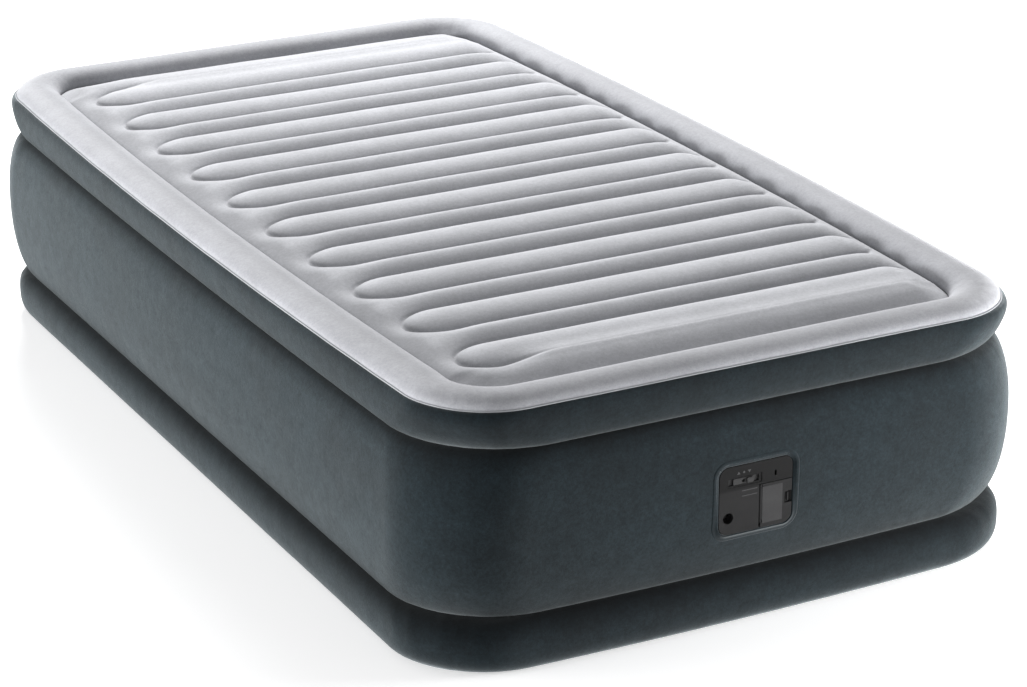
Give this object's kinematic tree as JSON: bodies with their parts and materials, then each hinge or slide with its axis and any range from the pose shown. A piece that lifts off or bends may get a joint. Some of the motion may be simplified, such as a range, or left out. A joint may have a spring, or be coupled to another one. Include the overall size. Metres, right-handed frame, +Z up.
{
  "type": "air mattress",
  "caption": "Raised single air mattress with cross ribs, three side tiers and a built-in electric pump whose lid, mode slide, latch, fan and check flap move.",
  "frame": {"origin": "on the floor under the middle of the bed", "axes": "+X across the bed, +Y along it away from the pump end, +Z up"},
  "size_m": [0.9904, 1.7852, 0.405],
  "materials": {
    "flock_light": "matte",
    "flock_dark": "matte",
    "base_film": "satin",
    "inner_film": "satin",
    "soft_ring": "satin",
    "dark_plastic": "matte",
    "lid_plastic": "matte",
    "grey_plastic": "satin",
    "label_film": "satin",
    "black_rubber": "matte",
    "steel": "satin",
    "copper": "satin",
    "carbon": "matte"
  },
  "bodies": {
    "mattress": {"top_sheet": "flock_light", "top_band": "flock_dark", "middle_wall": "flock_dark", "base_band": "flock_dark", "bottom_sheet": "base_film", "comfort_sheet": "inner_film", "lower_girdle": "inner_film", "rim_seam": "flock_light", "upper_seam": "flock_dark", "lower_seam": "flock_dark", "bottom_seam": "base_film", "crease_ties": "inner_film", "beam_01": "inner_film", "beam_02": "inner_film", "beam_03": "inner_film", "beam_04": "inner_film", "beam_05": "inner_film", "beam_06": "inner_film", "beam_07": "inner_film", "beam_08": "inner_film", "beam_09": "inner_film", "beam_10": "inner_film", "mounting_flange": "soft_ring", "housing_gasket": "black_rubber", "pump_housing": "dark_plastic", "front_panel": "dark_plastic", "port_grille": "dark_plastic", "cord_bay": "dark_plastic", "lid_hinge_pin": "steel", "cord_gland": "black_rubber", "valve_seat": "black_rubber", "valve_duct": "dark_plastic", "slide_switch": "dark_plastic", "volute": "dark_plastic", "volute_cover": "dark_plastic", "volute_screws": "steel", "motor_can": "steel", "motor_end_cap": "dark_plastic", "shaft_bushes": "copper", "field_core": "copper", "carbon_brushes": "carbon", "motor_mount": "black_rubber", "motor_bracket": "dark_plastic", "rear_port_seal": "black_rubber", "flap_pin": "steel", "thermal_cutout": "dark_plastic", "lead_wires": "copper"},
    "cord_lid": {"cord_lid": "lid_plastic", "blank_label": "label_film"},
    "latch_tab": {"lid_latch": "dark_plastic"},
    "mode_slide": {"mode_knob": "grey_plastic", "valve_slide": "grey_plastic", "switch_lever": "copper"},
    "fan_rotor": {"impeller": "grey_plastic", "motor_shaft": "steel", "rotor_core": "steel", "commutator": "copper"},
    "check_flap": {"check_flap": "black_rubber"}
  },
  "joints": [
    {"name": "lid_hinge", "type": "hinge", "parent": "mattress", "child": "cord_lid", "pos_m": [0.007, -0.889, 0.196], "axis": [0, 0, -1], "range_deg": [0, 100]},
    {"name": "latch_push", "type": "slide", "parent": "cord_lid", "child": "latch_tab", "axis": [-1, 0, 0], "range_m": [0, 0.0025], "stiffness_N_per_m": 200, "springref_m": -0.001},
    {"name": "mode_slide", "type": "slide", "parent": "mattress", "child": "mode_slide", "axis": [1, 0, 0], "range_m": [-0.006, 0.006]},
    {"name": "fan_spin", "type": "hinge", "parent": "mattress", "child": "fan_rotor", "pos_m": [-0.025, -0.831, 0.181], "axis": [0, 1, 0], "continuous": true},
    {"name": "flap_hinge", "type": "hinge", "parent": "mattress", "child": "check_flap", "pos_m": [-0.021, -0.7684, 0.241], "axis": [1, 0, 0], "range_deg": [0, 60], "stiffness_Nm_per_rad": 0.0005}
  ]
}
